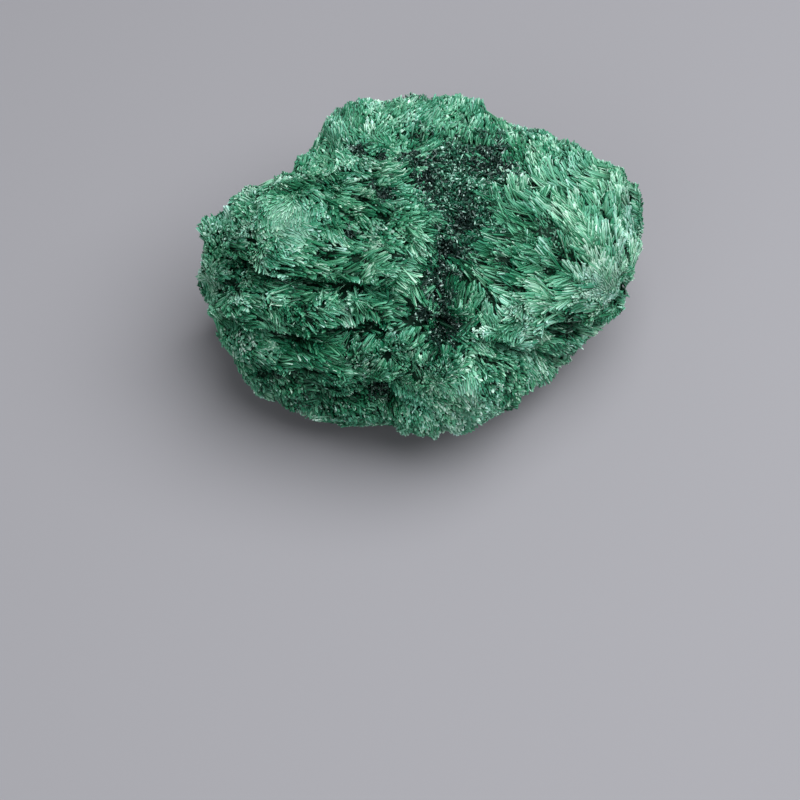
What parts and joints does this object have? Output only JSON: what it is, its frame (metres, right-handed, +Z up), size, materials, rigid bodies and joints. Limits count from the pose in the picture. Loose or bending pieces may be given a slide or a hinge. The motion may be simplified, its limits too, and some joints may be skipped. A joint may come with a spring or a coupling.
{
  "type": "malachite specimen",
  "caption": "Rounded lump of fibrous malachite: fans of silky green needles in ledges and domes round a dark hollow, resting on a flat patch.",
  "frame": {"origin": "middle of the lump's box at the level of the flat patch that it rests on", "axes": "X along the lump's longest side, Y away from the viewer of the picture, Z up from the flat patch"},
  "size_m": [0.1179, 0.098, 0.0626],
  "materials": {
    "malachite": "silky"
  },
  "bodies": {
    "root": {"malachite": "malachite"}
  },
  "joints": []
}
